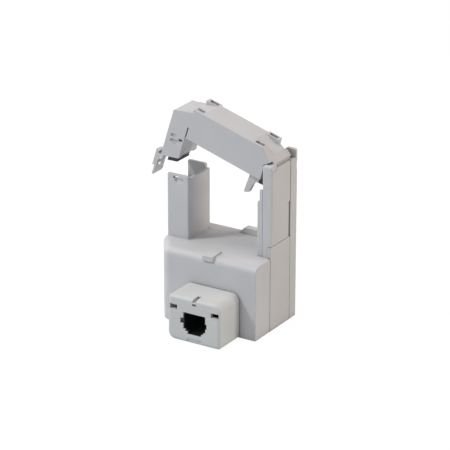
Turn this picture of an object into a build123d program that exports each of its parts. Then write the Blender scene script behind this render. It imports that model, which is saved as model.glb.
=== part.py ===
from build123d import *
import os

# Split-core current transformer with a hinged jaw, shown with the jaw open.
# Millimetres. X runs across the cable window, Y from the socket to the back, Z up.
# The origin is on the base, under the middle of the cable window and mid depth of its posts.

# Cable window and the two posts beside it
window_width = 30.6
window_height = 29.65
saddle_height = 30.1
post_depth = 15.9
moulding_wall = 1.4
left_post_width = 9.35
left_post_drop = 3.85
left_wall_drop = 1.1
left_back_rise = 0.8
left_outer_wall_drop = 11.4
left_outer_wall = 0.9
cheek_width = 4.0
cheek_thickness = 3.7
cheek_skin = 0.7
cheek_rounding = 0.7
cheek_rise = 2.3
right_post_width = 6.45
side_plate_wall = 1.05
side_plate_rise = 0.7
seam_rise = 4.8
side_slot_drop = 16.2

# Base box with the socket bulge
bulge_depth = 10.9
base_wall = 1.6
base_left_overhang = 2.1
base_foot_radius = 3.0
bulge_left_taper = 7.4
bulge_corner_radius = 5.0
bulge_brow_radius = 2.8
bulge_shoulder_radius = 3.0
rear_cover_depth = 5.6
ear_rise = 3.9
ear_thickness = 1.7

# Jaw, given as closed and turned open afterwards
jaw_depth = 12.6
jaw_height = 12.9
jaw_top_wall = 1.4
jaw_side_wall = 2.0
jaw_leg_wall = 1.0
leg_cheek_width = 6.8
leg_length = 11.85
leg_cheek_rise = 2.4
jaw_open_angle = 17.3
jaw_extra_angle = 27.0

# Hinge
hinge_inset = 2.8
hinge_rise = 5.15
hinge_pin_radius = 0.75
barrel_radius = 1.55
running_clearance = 0.05
press_clearance = 0.01

# Latch at the foot of the jaw's leg
latch_drop = 2.3
catch_drop = 5.7

# Magnetic core
core_thickness = 4.3
core_depth = 8.2
limb_height = 12.85
pole_gap = 0.15
left_pole_reveal = 1.8
left_pole_rise = 1.4
right_pole_setback = 2.75
right_pole_rise = 0.4

# Socket block on the front
hood_width = 23.1
hood_height = 18.3
hood_depth = 14.6
hood_wall = 1.6
hood_left = -8.15
hood_flare = 0.6
hood_corner_radius = 3.0
hood_back_rounding = 0.8
hood_front_rounding = 1.4
mouth_lip = 0.6
socket_offset = 0.1
socket_width = 9.9
socket_top = 12.4
socket_plug_height = 6.9
socket_key_width = 6.1
socket_key_height = 1.9
contact_count = 6
contact_pitch = 1.02
contact_width = 0.44
contact_thickness = 0.35
contact_reach = 8.0
contact_dip = 3.4
plug_depth = 12.6
socket_wall = 0.95
socket_roof = 2.0
socket_floor = 1.4
vent_length = 3.3
vent_height = 1.9
vent_rise = 0.4
vent_inset = 2.35
pip_width = 1.7
pip_rise = 3.35
edge_notch = 1.7

# General fits
small_gap = 0.2
seam = 0.1

# Places worked out from the sizes above
half_window = window_width / 2
half_post = post_depth / 2
half_jaw = jaw_depth / 2
half_core = core_depth / 2
post_front = -half_post
post_back = half_post
parting = half_jaw + small_gap
rear_face = parting + rear_cover_depth - small_gap
left_post_outer = -half_window - left_post_width
right_outer = half_window + right_post_width
plate_inner = right_outer - side_plate_wall
cheek_left = right_outer - cheek_width
cheek_back = post_front + cheek_thickness
base_left = left_post_outer - base_left_overhang
bulge_front = post_front - bulge_depth
hood_front = bulge_front - hood_depth
hood_right = hood_left + hood_width
socket_centre = hood_left + hood_width / 2 + socket_offset
jaw_bottom = saddle_height + window_height
jaw_top = jaw_bottom + jaw_height
hinge_height = jaw_bottom + hinge_rise
cheek_top = hinge_height + cheek_rise
side_plate_top = hinge_height + side_plate_rise
rear_cover_top = side_plate_top
ear_top = hinge_height + ear_rise
seam_height = saddle_height + seam_rise
side_slot_top = side_plate_top - side_slot_drop
left_post_top = jaw_bottom - left_post_drop
left_outer_wall_top = left_post_top - left_outer_wall_drop
leg_cheek_bottom = jaw_bottom - leg_length
latch_pivot_z = leg_cheek_bottom - latch_drop
catch_bottom = latch_pivot_z - catch_drop
hinge_x = right_outer - hinge_inset
leg_outer = left_post_outer - small_gap - jaw_leg_wall
core_left = left_post_outer + left_outer_wall + small_gap
core_left_inner = core_left + core_thickness
core_right = plate_inner - small_gap
core_right_inner = core_right - core_thickness
left_pole_height = leg_cheek_bottom - left_pole_reveal
right_pole_height = jaw_bottom - right_pole_setback


def box(x0, x1, y0, y1, z0, z1):
    """A block between two corners."""
    centre = Pos((x0 + x1) / 2, (y0 + y1) / 2, (z0 + z1) / 2)
    return centre * Box(x1 - x0, y1 - y0, z1 - z0)


def side_profile(points, y0, y1):
    """An outline in X and Z carried along Y."""
    wire = Wire.make_polygon([Vector(x, y0, z) for x, z in points], close=True)
    return extrude(Face(wire), amount=y1 - y0, dir=(0, 1, 0))


def plan_profile(points, z0, z1):
    """An outline in X and Y carried up Z."""
    wire = Wire.make_polygon([Vector(x, y, z0) for x, y in points], close=True)
    return extrude(Face(wire), amount=z1 - z0, dir=(0, 0, 1))


def depth_profile(points, x0, x1):
    """An outline in Y and Z carried along X."""
    wire = Wire.make_polygon([Vector(x0, y, z) for y, z in points], close=True)
    return extrude(Face(wire), amount=x1 - x0, dir=(1, 0, 0))


def rod_y(x, z, radius, y0, y1):
    """A round bar along Y."""
    return Pos(x, (y0 + y1) / 2, z) * Rot(90, 0, 0) * Cylinder(radius, y1 - y0)


def rod_x(y, z, radius, x0, x1):
    """A round bar along X."""
    return Pos((x0 + x1) / 2, y, z) * Rot(0, 90, 0) * Cylinder(radius, x1 - x0)


def edges_at(part, axis, **limits):
    """Edges along one axis whose centre lies within the given limits."""
    chosen = []
    for edge in part.edges().filter_by(axis):
        c = edge.center()
        inside = True
        for name, (low, high) in limits.items():
            value = getattr(c, name)
            inside = inside and low - 0.01 <= value <= high + 0.01
        if inside:
            chosen.append(edge)
    return chosen


def turned_open(shape):
    """The closed jaw's piece, turned about the hinge to the open rest position."""
    return Pos(hinge_x, 0, hinge_height) * Rot(0, jaw_open_angle, 0) * Pos(-hinge_x, 0, -hinge_height) * shape


def base_outline(inset=0.0):
    """Plan of the base: a straight right side and a left side that tapers to the front."""
    front = bulge_front + inset
    left = base_left + inset
    return [
        (left + bulge_left_taper, front),
        (right_outer - inset, front),
        (right_outer - inset, parting),
        (left, parting),
        (left, post_front),
    ]


def foot_rounding():
    """What the rounded bottom left edge of the base and the rear cover takes away."""
    radius = base_foot_radius
    corner = box(base_left - 1, base_left + radius, bulge_front - 1, rear_face + 1, -1, radius)
    return corner - rod_y(base_left + radius, radius, radius, bulge_front - 2, rear_face + 2)


def base_box():
    """The hollow base with its bulge for the socket, open to the back and to the right."""
    body = plan_profile(base_outline(), 0, saddle_height)
    taper_end = base_left + bulge_left_taper
    corner = edges_at(body, Axis.Z, X=(base_left, taper_end), Y=(bulge_front, bulge_front))
    body = fillet(corner, bulge_corner_radius)
    shoulder = edges_at(body, Axis.Z, X=(base_left, base_left), Y=(post_front, post_front))
    body = fillet(shoulder, bulge_shoulder_radius)
    top_edges = body.edges().filter_by(lambda e: e.center().Z > saddle_height - 0.01)
    body = fillet([e for e in top_edges if e.center().Y < bulge_front + base_wall], bulge_brow_radius)
    body = body - foot_rounding()
    cavity = plan_profile(base_outline(base_wall), base_wall, saddle_height - base_wall)
    back_door = box(base_left + base_wall, right_outer, parting - base_wall, parting + 1,
                    base_wall, saddle_height - base_wall)
    step_front = post_front - lower_plate_lead - seam
    plate_step = box(plate_inner, right_outer + 1, step_front, parting + 1, -1, saddle_height + 1)
    side_door = box(plate_inner - base_wall, right_outer + 1, cheek_back - 1.0, parting + 1,
                    base_wall, saddle_height - base_wall)
    return body - cavity - back_door - plate_step - side_door


def left_post():
    """The channel that takes the jaw's leg, open to the left above its short outer wall."""
    bottom = saddle_height - base_wall
    wall = moulding_wall
    front = box(left_post_outer, -half_window, post_front, post_front + wall, bottom, left_post_top)
    back = box(left_post_outer, -half_window - wall, post_back - wall, post_back,
               saddle_height + seam, left_post_top + left_back_rise)
    window_side = box(-half_window - wall, -half_window, post_front, post_back,
                      saddle_height + seam, left_post_top - left_wall_drop)
    window_foot = box(-half_window - wall, -half_window, post_front, parting,
                      bottom, saddle_height + 1)
    outer = box(left_post_outer, left_post_outer + left_outer_wall, post_front, post_back,
                saddle_height + seam, left_outer_wall_top)
    outer_foot = box(left_post_outer, left_post_outer + left_outer_wall, post_front, parting,
                     bottom, saddle_height + 1)
    post = front + back + window_side + window_foot + outer + outer_foot
    corners = edges_at(post, Axis.Z, X=(-half_window, -half_window), Z=(saddle_height + wall, left_post_top))
    post = fillet(corners, 0.5)
    back_top = left_post_top + left_back_rise
    back_corner = edges_at(post, Axis.Y, X=(-half_window - wall, -half_window - wall), Z=(back_top, back_top))
    return fillet(back_corner, left_back_rise)


snap_inset = 2.6
snap_length = 2.3
snap_height = 1.0
snap_drop = 0.6
scoop_length = 3.8
scoop_radius = 0.85


def dimple(x0, x1, face, z, radius):
    """A soft hollow in a front face: a round-ended groove of the given radius."""
    groove = rod_x(face, z, radius, x0 + radius, x1 - radius)
    return groove + Pos(x0 + radius, face, z) * Sphere(radius) + Pos(x1 - radius, face, z) * Sphere(radius)


def snap_window():
    """Cutters for the catch slot through the front wall and the scooped ramp under it."""
    slot_left = left_post_outer + snap_inset
    slot_top = left_post_top - snap_drop
    slot = box(slot_left, slot_left + snap_length, post_front - 1, post_front + moulding_wall + 1,
               slot_top - snap_height, slot_top)
    scoop_left = slot_left + snap_length / 4
    scoop_middle = slot_top - snap_height - scoop_radius * 0.6
    scoop = dimple(scoop_left, scoop_left + scoop_length, post_front, scoop_middle, scoop_radius)
    ramp = depth_profile([(post_front - 0.1, slot_top - snap_height - 3.0 * scoop_radius),
                          (post_front + 0.6 * scoop_radius, slot_top - snap_height),
                          (post_front - 0.1, slot_top - snap_height)],
                         scoop_left + snap_length / 4, scoop_left + scoop_length)
    return slot + scoop + ramp


snap_nib_inset = 1.2
snap_nib_width = 1.7


def snap_nib():
    """The nib inside the front wall that the jaw's leg clicks past."""
    left = left_post_outer + snap_nib_inset
    inner = post_front + moulding_wall
    top = left_post_top - 0.2
    outline = [(inner, top), (inner + 0.2, top - 0.4), (inner + 0.2, top - 0.8), (inner, top - 0.9)]
    return depth_profile(outline, left, left + snap_nib_width)


catch_width = 2.8
catch_height = 1.3
catch_reach = 3.85


def latch_catch():
    """The wedge on the left post that the latch's window drops over."""
    root = left_post_outer + 0.3
    tip = left_post_outer - catch_reach
    top = catch_bottom + catch_height
    return side_profile([(root, catch_bottom), (tip, catch_bottom), (tip, catch_bottom + 0.5),
                         (root, top + 0.8)], -catch_width / 2, catch_width / 2)


head_overlap = 0.5


def right_post():
    """The front cheek of the hinge post, and the ledge that closes the base under it."""
    bottom = saddle_height - base_wall
    head_bottom = side_plate_top - head_overlap
    cheek = box(cheek_left, plate_inner - small_gap, post_front, cheek_back, bottom, head_bottom)
    head = box(cheek_left, right_outer, post_front, cheek_back, head_bottom, cheek_top)
    skin = box(cheek_left, right_outer, post_front, post_front + cheek_skin, seam_height, head_bottom)
    post = cheek + head + skin
    rounded = edges_at(post, Axis.X, Y=(post_front, post_front), Z=(cheek_top, cheek_top))
    rounded += edges_at(post, Axis.Y, X=(cheek_left, cheek_left), Z=(cheek_top, cheek_top))
    rounded += edges_at(post, Axis.Z, X=(cheek_left, cheek_left), Y=(post_front, post_front))
    post = fillet(rounded, cheek_rounding)
    lightening = box(cheek_left + moulding_wall, plate_inner - small_gap + 1, post_front + moulding_wall,
                     cheek_back - moulding_wall, saddle_height, side_plate_top - 5)
    return post - lightening


def core_openings():
    """Holes through the saddle for the two legs of the lower core."""
    z0 = saddle_height - base_wall - 1
    z1 = saddle_height + 1
    reach = half_core + small_gap
    left = box(core_left - small_gap, core_left_inner + small_gap, -reach, reach, z0, z1)
    right = box(core_right_inner - small_gap, right_outer + 1, -reach, parting + 1, z0, z1)
    return left + right


nib_left = -1.85
nib_width = 4.5
nib_reach = 0.5
nib_length = 7.0
nib_rise = 0.5
nib_height = 2.0


def shoulder_nib():
    """The small flat-topped tooth on the brow of the bulge."""
    front = bulge_front - nib_reach
    top = saddle_height + nib_rise
    return box(nib_left, nib_left + nib_width, front, front + nib_length, top - nib_height, top)


opening_side_gap = 0.3
opening_top_gap = 0.4


def socket_opening():
    """Hole in the bulge's front for the socket and its board."""
    half = socket_width / 2 + socket_wall + opening_side_gap
    return box(socket_centre - half, socket_centre + half, bulge_front - 1, bulge_front + base_wall + 1,
               base_wall, socket_top + socket_roof + opening_top_gap)


def hinge_bore(radius, y0, y1):
    return rod_y(hinge_x, hinge_height, radius, y0, y1)


board_width = 21.0
board_height = 20.0
board_thickness = 1.5
board_setback = 0.9
board_left = socket_centre - board_width / 2
board_right = socket_centre + board_width / 2
board_front = bulge_front + base_wall + board_setback
rail_size = 0.8
rail_height = 10.4
rail_root = 0.1


def board_rails():
    """The pairs of upright rails that hold the circuit board at its two ends."""
    rails = []
    for x in (board_left, board_right):
        for y in (board_front - small_gap - rail_size, board_front + board_thickness + small_gap):
            rails.append(box(x - rail_size, x + rail_size, y, y + rail_size,
                             base_wall - rail_root, base_wall + rail_height))
    return rails


def front_housing():
    body = base_box() + left_post() + right_post() + latch_catch() + snap_nib()
    for rail in board_rails():
        body = body + rail
    nib = shoulder_nib()
    body = body + nib
    body = body - snap_window() - core_openings() - socket_opening()
    return body - hinge_bore(hinge_pin_radius + press_clearance, cheek_back - 3.0, cheek_back + 1)


rear_corner_radius = 1.0
ear_left_slope = 2.2
ear_left_slope_drop = 3.0
ear_right_slope = 1.4
ear_right_slope_drop = 0.3
pry_notch_drop = 1.6
pry_notch_height = 3.5
pry_notch_depth = 1.2


def rear_cover():
    """The back shell: a tray behind the base and a tall channel with an ear behind the hinge."""
    tray = box(base_left, right_outer, parting + seam, rear_face, 0, saddle_height)
    riser = box(half_window, right_outer, parting + seam, rear_face, saddle_height - 1, rear_cover_top)
    ear_front = rear_face - ear_thickness
    ear = side_profile([(half_window, rear_cover_top - 2), (right_outer, rear_cover_top - 2),
                        (right_outer, ear_top - ear_right_slope_drop),
                        (right_outer - ear_right_slope, ear_top), (half_window + ear_left_slope, ear_top),
                        (half_window, ear_top - ear_left_slope_drop)], ear_front, rear_face)
    shell = tray + riser + ear
    corners = edges_at(shell, Axis.Z, X=(base_left, base_left), Y=(rear_face, rear_face))
    corners += edges_at(shell, Axis.Z, X=(right_outer, right_outer), Y=(rear_face, rear_face))
    shell = fillet(corners, rear_corner_radius)
    groove = edges_at(shell, Axis.Z, X=(right_outer, right_outer), Y=(parting + seam, parting + seam))
    shell = fillet(groove, groove_rounding)
    hollow = box(base_left + base_wall, plate_inner, parting - 1, rear_face - moulding_wall,
                 base_wall, saddle_height - base_wall)
    channel = box(half_window + moulding_wall, plate_inner, parting - 1, rear_face - ear_thickness,
                  base_wall, rear_cover_top + 1)
    shell = shell - hollow - channel - foot_rounding()
    shell = shell + rear_bump()
    notch_top = rear_cover_top - pry_notch_drop
    notch = box(right_outer - 0.5, right_outer + 1, rear_face - pry_notch_depth, rear_face + 1,
                notch_top - pry_notch_height, notch_top)
    bore = hinge_bore(hinge_pin_radius + press_clearance, ear_front - 1, rear_face - 0.6)
    return shell - notch - bore


bump_left = -2.8
bump_height = 2.55
bump_depth = 2.8


def rear_bump():
    """The ramped stop on the back edge of the saddle beside the hinge post."""
    top = saddle_height + bump_height
    return side_profile([(bump_left - 0.5, saddle_height - 0.5), (bump_left, saddle_height),
                         (bump_left + bump_height, top), (half_window + 0.5, top),
                         (half_window + 0.5, saddle_height - 0.5)], rear_face - bump_depth, rear_face)


side_slot_width = 1.25
groove_rounding = 0.2
rib_width = 0.8


def upper_side_plate():
    """The upper cover plate of the hinge post, with the long slot beside the back shell."""
    front = post_front + cheek_skin + seam
    plate = box(plate_inner, right_outer, front, parting, seam_height, side_plate_top)
    head_room = box(plate_inner - 1, right_outer + 1, front - 1, cheek_back + small_gap,
                    side_plate_top - head_overlap - seam, side_plate_top + 1)
    slot = box(plate_inner - 1, right_outer + 1, parting - side_slot_width, parting + 1,
               seam_height - 1, side_slot_top)
    plate = plate - head_room - slot
    upright = edges_at(plate, Axis.Z, X=(right_outer, right_outer), Y=(front, front))
    upright += edges_at(plate, Axis.Z, X=(right_outer, right_outer), Y=(parting, parting))
    plate = fillet(upright, groove_rounding)
    rib_front = half_core + small_gap * 2
    rib = box(plate_inner - 0.15, plate_inner + 0.2, rib_front, rib_front + rib_width,
              seam_height + rib_width, side_plate_top - hinge_inset)
    return plate + rib


lower_plate_proud = 0.15
lower_plate_lead = 0.3


def lower_side_plate():
    """The lower cover plate, slightly proud of the upper one."""
    face = right_outer + lower_plate_proud
    plate = box(plate_inner, face, post_front - lower_plate_lead, parting, 0, seam_height - seam)
    return fillet(plate.faces().sort_by(Axis.X)[-1].edges(), 0.25)


liner_drop = 7.75
liner_inset = 0.5
liner_wall = 1.0
liner_front_wall = 1.1
liner_back_return = 3.2
horn_height = 5.0


def window_liner():
    """The thin channel that closes the hinge post towards the cable window."""
    top = jaw_bottom - liner_drop
    bottom = saddle_height + seam
    front = post_front + liner_inset
    return_back = front + liner_front_wall
    wall = box(half_window, half_window + liner_wall, front, parting, bottom, top)
    front_return = box(half_window, cheek_left - seam, front, return_back, bottom, top)
    horn = box(half_window + liner_front_wall, cheek_left - seam, front, return_back,
               top - 1, top + horn_height)
    back_return = box(half_window, half_window + liner_back_return, parting - liner_wall, parting,
                      bottom, top)
    liner = wall + front_return + horn + back_return
    reach = half_core + small_gap
    core_side = core_right_inner - small_gap
    liner = liner - box(core_side, cheek_left, -reach, reach, bottom - 1, top + horn_height)
    nose = edges_at(liner, Axis.Z, X=(half_window, half_window), Y=(front, front))
    return fillet(nose, 0.4)


def core_bar(points):
    return side_profile(points, -half_core, half_core)


def lower_core():
    """The fixed half of the core: a flat bar with a leg up each post."""
    top = limb_height + core_thickness
    return core_bar([
        (core_left, limb_height),
        (core_right, limb_height),
        (core_right, right_pole_height + right_pole_rise - pole_gap),
        (core_right_inner, right_pole_height - pole_gap),
        (core_right_inner, top),
        (core_left_inner, top),
        (core_left_inner, left_pole_height + left_pole_rise - pole_gap),
        (core_left, left_pole_height - pole_gap),
    ])


core_bar_bottom = jaw_bottom + 1.2
knuckle_reach = 2.3
pin_hold = 3.0
knuckle_left = hinge_x - 1.85
knuckle_bottom = hinge_height - barrel_radius


def upper_core():
    """The jaw's half of the core, notched at the corner to clear the hinge."""
    top = core_bar_bottom + core_thickness
    return core_bar([
        (core_left, left_pole_height),
        (core_left_inner, left_pole_height + left_pole_rise),
        (core_left_inner, core_bar_bottom),
        (core_right_inner, core_bar_bottom),
        (core_right_inner, right_pole_height),
        (core_right, right_pole_height + right_pole_rise),
        (core_right, knuckle_bottom - small_gap),
        (knuckle_left - small_gap, knuckle_bottom - small_gap),
        (knuckle_left - small_gap, top),
        (core_left, top),
    ])


bobbin_wall = 0.9
winding_build = 4.4
limb_middle = limb_height + core_thickness / 2


def bobbin_sizes():
    """Half sizes of the bobbin's tube around the limb."""
    half_y = half_core + small_gap + bobbin_wall
    half_z = core_thickness / 2 + small_gap + bobbin_wall
    return half_y, half_z


def ring_x(x0, x1, half_y, half_z, hole_y, hole_z, radius):
    """A rounded rectangular ring around the limb."""
    outer = box(x0, x1, -half_y, half_y, limb_middle - half_z, limb_middle + half_z)
    outer = fillet(outer.edges().filter_by(Axis.X), radius)
    hole = box(x0 - 1, x1 + 1, -hole_y, hole_y, limb_middle - hole_z, limb_middle + hole_z)
    return outer - hole


def coil_bobbin():
    half_y, half_z = bobbin_sizes()
    inner_y = half_core + small_gap
    inner_z = core_thickness / 2 + small_gap
    x0 = core_left_inner + small_gap
    x1 = core_right_inner - small_gap
    tube = ring_x(x0, x1, half_y, half_z, inner_y, inner_z, 0.5)
    flange_y = half_y + winding_build + 0.6
    flange_z = half_z + winding_build + 0.6
    for start in (x0, x1 - 1.0):
        tube = tube + ring_x(start, start + 1.0, flange_y, flange_z, inner_y, inner_z, 2.0)
    return tube


def secondary_winding():
    half_y, half_z = bobbin_sizes()
    x0 = core_left_inner + small_gap + 1.0 + seam
    x1 = core_right_inner - small_gap - 1.0 - seam
    build = winding_build - 0.3
    return ring_x(x0, x1, half_y + build, half_z + build, half_y + 0.05, half_z + 0.05, 4.0)


def winding_tape():
    half_y, half_z = bobbin_sizes()
    x0 = core_left_inner + small_gap + 1.0 + seam
    x1 = core_right_inner - small_gap - 1.0 - seam
    inner = winding_build - 0.3
    outer = ring_x(x0, x1, half_y + inner + 0.25, half_z + inner + 0.25, 1.0, 1.0, 4.25)
    core = box(x0 - 1, x1 + 1, -half_y - inner - 0.02, half_y + inner + 0.02,
               limb_middle - half_z - inner - 0.02, limb_middle + half_z + inner + 0.02)
    core = fillet(core.edges().filter_by(Axis.X), 4.02)
    return outer - core


def circuit_board():
    board = box(board_left, board_right, board_front, board_front + board_thickness,
                base_wall, base_wall + board_height)
    return fillet(edges_at(board, Axis.Y), 0.6)


resistor_width = 3.2
resistor_offset = 7.4
resistor_rise = 11.4


def burden_resistor():
    back = board_front + board_thickness
    left = socket_centre - resistor_offset
    bottom = base_wall + resistor_rise
    return box(left, left + resistor_width, back, back + 0.8, bottom, bottom + 0.7 * resistor_width)


diode_radius = 1.25
diode_length = 4.4
diode_offset = 0.6
diode_rise = 15.4
diode_lead_span = 1.6
lead_radius = 0.3


def clamp_diode():
    """An axial diode lying on the board, with its two bent leads."""
    back = board_front + board_thickness
    y = back + diode_radius + seam
    z = base_wall + diode_rise
    left = socket_centre + diode_offset
    right = left + diode_length
    body = rod_x(y, z, diode_radius, left, right)
    for root, end in ((left, left - diode_lead_span), (right, right + diode_lead_span)):
        body = body + rod_x(y, z, lead_radius, min(root, end), max(root, end))
        body = body + rod_y(end, z, lead_radius, back, y)
    return body


def coil_leads():
    """The two ends of the winding, soldered to the board."""
    half_y, half_z = bobbin_sizes()
    back = board_front + board_thickness
    reach = -(half_y + winding_build + 0.6)
    leads = []
    for x in (core_left_inner + 0.7, core_left_inner + 0.7 + 3.0):
        z = limb_middle + 3.0
        start = max(x, board_left + 1.0)
        leads.append(rod_y(x, z, 0.35, back, reach - seam) if x > board_left else
                     rod_y(x, z, 0.35, back + 1.5, reach - seam)
                     + rod_x(back + 1.5, z, 0.35, x, start) + rod_y(start, z, 0.35, back, back + 1.5))
    return leads


def hood_shell():
    foot_left = hood_left - hood_flare
    outline = [(foot_left, 0), (hood_right, 0), (hood_right, hood_height), (hood_left, hood_height)]
    body = side_profile(outline, hood_front, bulge_front)
    top_right = edges_at(body, Axis.Y, X=(hood_right, hood_right), Z=(hood_height, hood_height))
    bottom_left = edges_at(body, Axis.Y, X=(foot_left, foot_left), Z=(0, 0))
    body = fillet(top_right + bottom_left, hood_corner_radius)
    others = edges_at(body, Axis.Y, X=(hood_left, hood_left), Z=(hood_height, hood_height))
    others += edges_at(body, Axis.Y, X=(hood_right, hood_right), Z=(0, 0))
    body = fillet(others, hood_corner_radius / 2)
    front_rim = body.edges().filter_by(lambda e: abs(e.center().Y - hood_front) < 0.01)
    body = fillet(front_rim, hood_front_rounding)
    back_rim = body.edges().filter_by(lambda e: abs(e.center().Y - bulge_front) < 0.01)
    body = fillet(back_rim, hood_back_rounding)
    inside = box(hood_left + hood_wall, hood_right - hood_wall, hood_front + hood_wall, bulge_front + 1,
                 hood_wall, hood_height - hood_wall)
    inside = fillet(inside.edges().filter_by(Axis.Y), hood_corner_radius - hood_wall)
    return body - inside - socket_block(small_gap / 2, hood_front + mouth_lip)


def socket_mouth(grow=0.0, y0=0.0, y1=1.0):
    """The stepped plug opening: a wide part, a shoulder each side and the latch's way below."""
    half = socket_width / 2 + grow
    low = socket_top - socket_plug_height - grow
    mid = low - socket_key_height * 0.45
    key = socket_key_width / 2 + grow
    bottom = low - socket_key_height
    step = (half + key) / 2
    points = [(-half, socket_top + grow), (half, socket_top + grow), (half, low), (step, low), (step, mid),
              (key, mid), (key, bottom), (-key, bottom), (-key, mid), (-step, mid), (-step, low), (-half, low)]
    return side_profile([(socket_centre + x, z) for x, z in points], y0, y1)


notch_height = 2.2
notch_root = 0.5
left_notch_reach = 1.3
left_notch_drop = 2.5
right_notch_reach = 0.6
right_notch_drop = 3.0
recess_length = 6.4
recess_bottom = 0.6
recess_height = 1.4
recess_depth = 0.3


def jack_hood():
    """The block on the front with the socket's opening, its small slots and a bare shallow recess."""
    hood = hood_shell()
    y0 = hood_front - 1
    y1 = hood_front + hood_wall + 1
    hood = hood - socket_mouth(0.0, y0, y1)
    half = vent_length / 2
    low = socket_top + vent_rise
    for centre in (hood_left + vent_inset, hood_right - vent_inset):
        hood = hood - box(centre - half, centre + half, y0, y1, low, low + vent_height)
    pip = socket_top + pip_rise
    pip_half = pip_width / 2
    hood = hood - box(socket_centre - pip_half, socket_centre + pip_half, y0, hood_front + pip_half,
                      pip, pip + pip_half)
    hood = hood - box(socket_centre - edge_notch / 2, socket_centre + edge_notch / 2, y0,
                      hood_front + 2.5 * edge_notch, hood_height - edge_notch * 0.75, hood_height + 1)
    left_side = socket_centre - socket_width / 2
    notch_top = socket_top - left_notch_drop
    hood = hood - box(left_side - left_notch_reach, left_side + notch_root, y0, y1,
                      notch_top - notch_height, notch_top)
    right_side = socket_centre + socket_width / 2
    notch_top = socket_top - right_notch_drop
    hood = hood - box(right_side - notch_root, right_side + right_notch_reach, y0, y1,
                      notch_top - notch_height, notch_top)
    return hood - box(socket_centre - recess_length / 2, socket_centre + recess_length / 2, y0,
                      hood_front + recess_depth, recess_bottom, recess_bottom + recess_height)


socket_front = hood_front + mouth_lip + seam
socket_back = board_front - seam


def socket_block(grow, front):
    """The outer block of the socket insert, or with a little growth the room for it."""
    half = socket_width / 2 + socket_wall + grow
    return box(socket_centre - half, socket_centre + half, front, socket_back,
               socket_top - socket_plug_height - socket_key_height - socket_floor - grow,
               socket_top + socket_roof + grow)


def jack_body():
    """The black insert of the six-way modular socket."""
    body = socket_block(0, socket_front)
    body = body - socket_mouth(-0.05, socket_front - 1, socket_front + plug_depth)
    for x in contact_places():
        half = contact_width / 2 + seam
        body = body - box(x - half, x + half, socket_front + 1.0, socket_back + 1, socket_top - 0.4,
                          socket_top + socket_roof * 0.65)
    return body


def contact_places():
    first = socket_centre - (contact_count - 1) / 2 * contact_pitch
    return [first + index * contact_pitch for index in range(contact_count)]


contact_setback = 1.3
contact_tip_length = 0.2
contact_tip_rise = 0.3


def jack_contacts():
    """Six spring wires that slope down and back into the plug space."""
    y0 = socket_front + contact_setback
    top = socket_top + socket_roof / 2
    thick = contact_thickness
    tip_y = y0 + contact_reach
    tip_z = socket_top - contact_dip
    outline = [
        (board_front, top), (y0, top), (y0, top - 1.7 * thick), (tip_y, tip_z),
        (tip_y + contact_tip_length, tip_z + contact_tip_rise),
        (y0 + 1.6 * thick, top - 1.3 * thick), (board_front, top - thick),
    ]
    half = contact_width / 2
    return [depth_profile(outline, x - half, x + half) for x in contact_places()]


left_slope_start = -13.4
left_slope_drop = 4.4
left_shoulder = jaw_top - left_slope_drop
right_slope_start = 9.0
right_slope_end = 17.6
right_slope_drop = 2.95
lip_x = 0.95
lip_z = 2.3
lip_root_x = 0.5
lip_root_z = 1.7


def jaw_outline():
    """Side view of the closed jaw: leg, bar with both ends sloped, and the hinge lip."""
    leg_inner = leg_outer + jaw_leg_wall + leg_cheek_width
    return [
        (leg_outer, leg_cheek_bottom),
        (leg_inner, leg_cheek_bottom + leg_cheek_rise),
        (leg_inner, jaw_bottom),
        (hinge_x + barrel_radius, jaw_bottom),
        (hinge_x + barrel_radius, hinge_height),
        (hinge_x + lip_root_x, hinge_height + lip_root_z),
        (hinge_x + lip_x, hinge_height + lip_z),
        (right_slope_end, jaw_top - right_slope_drop),
        (right_slope_start, jaw_top),
        (left_slope_start, jaw_top),
        (leg_outer, left_shoulder),
    ]


def jaw_cavity():
    """Room for the jaw's core, open below and under the hinge knuckle."""
    inner = half_core + small_gap
    left = leg_outer + jaw_leg_wall
    top = jaw_top - jaw_top_wall
    bar = side_profile([
        (left, leg_cheek_bottom - 2), (core_left_inner + 1.4, leg_cheek_bottom - 2),
        (core_left_inner + 1.4, jaw_bottom - 1), (knuckle_left, jaw_bottom - 1),
        (knuckle_left, top - right_slope_drop), (right_slope_start, top), (left_slope_start, top),
        (left, left_shoulder - jaw_top_wall),
    ], -inner, inner)
    below_knuckle = box(knuckle_left - 1, right_outer + 1, -inner, inner, jaw_bottom - 1, knuckle_bottom)
    return bar + below_knuckle


def cheek_clearance():
    """What the post's front cheek sweeps through in the jaw as the jaw turns."""
    gap = 0.15
    reach = cheek_top - jaw_bottom + jaw_side_wall
    y0 = -half_jaw - 1
    y1 = cheek_back + small_gap
    left = cheek_left - gap
    top = cheek_top + gap
    swing = jaw_open_angle + jaw_extra_angle
    block = box(left, left + reach, y0, y1, top - reach, top)
    block = fillet(edges_at(block, Axis.Y, X=(left, left), Z=(top, top)), cheek_rounding + gap)
    cutter = block
    steps = 5
    for step in range(1, steps + 1):
        turn = Rot(0, -swing * step / steps, 0)
        cutter = cutter + Pos(hinge_x, 0, hinge_height) * turn * Pos(-hinge_x, 0, -hinge_height) * block
    return cutter


slot_length = 3.8
slot_width = 1.7
slot_depth = 4.5
slot_places = (-15.75, 12.0)
sleeve_width = 6.0
sleeve_height = 6.5
sleeve_reach = 0.95
sleeve_root = 1.8
sleeve_chamfer = 2.3
pad_depth = 3.3


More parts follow.
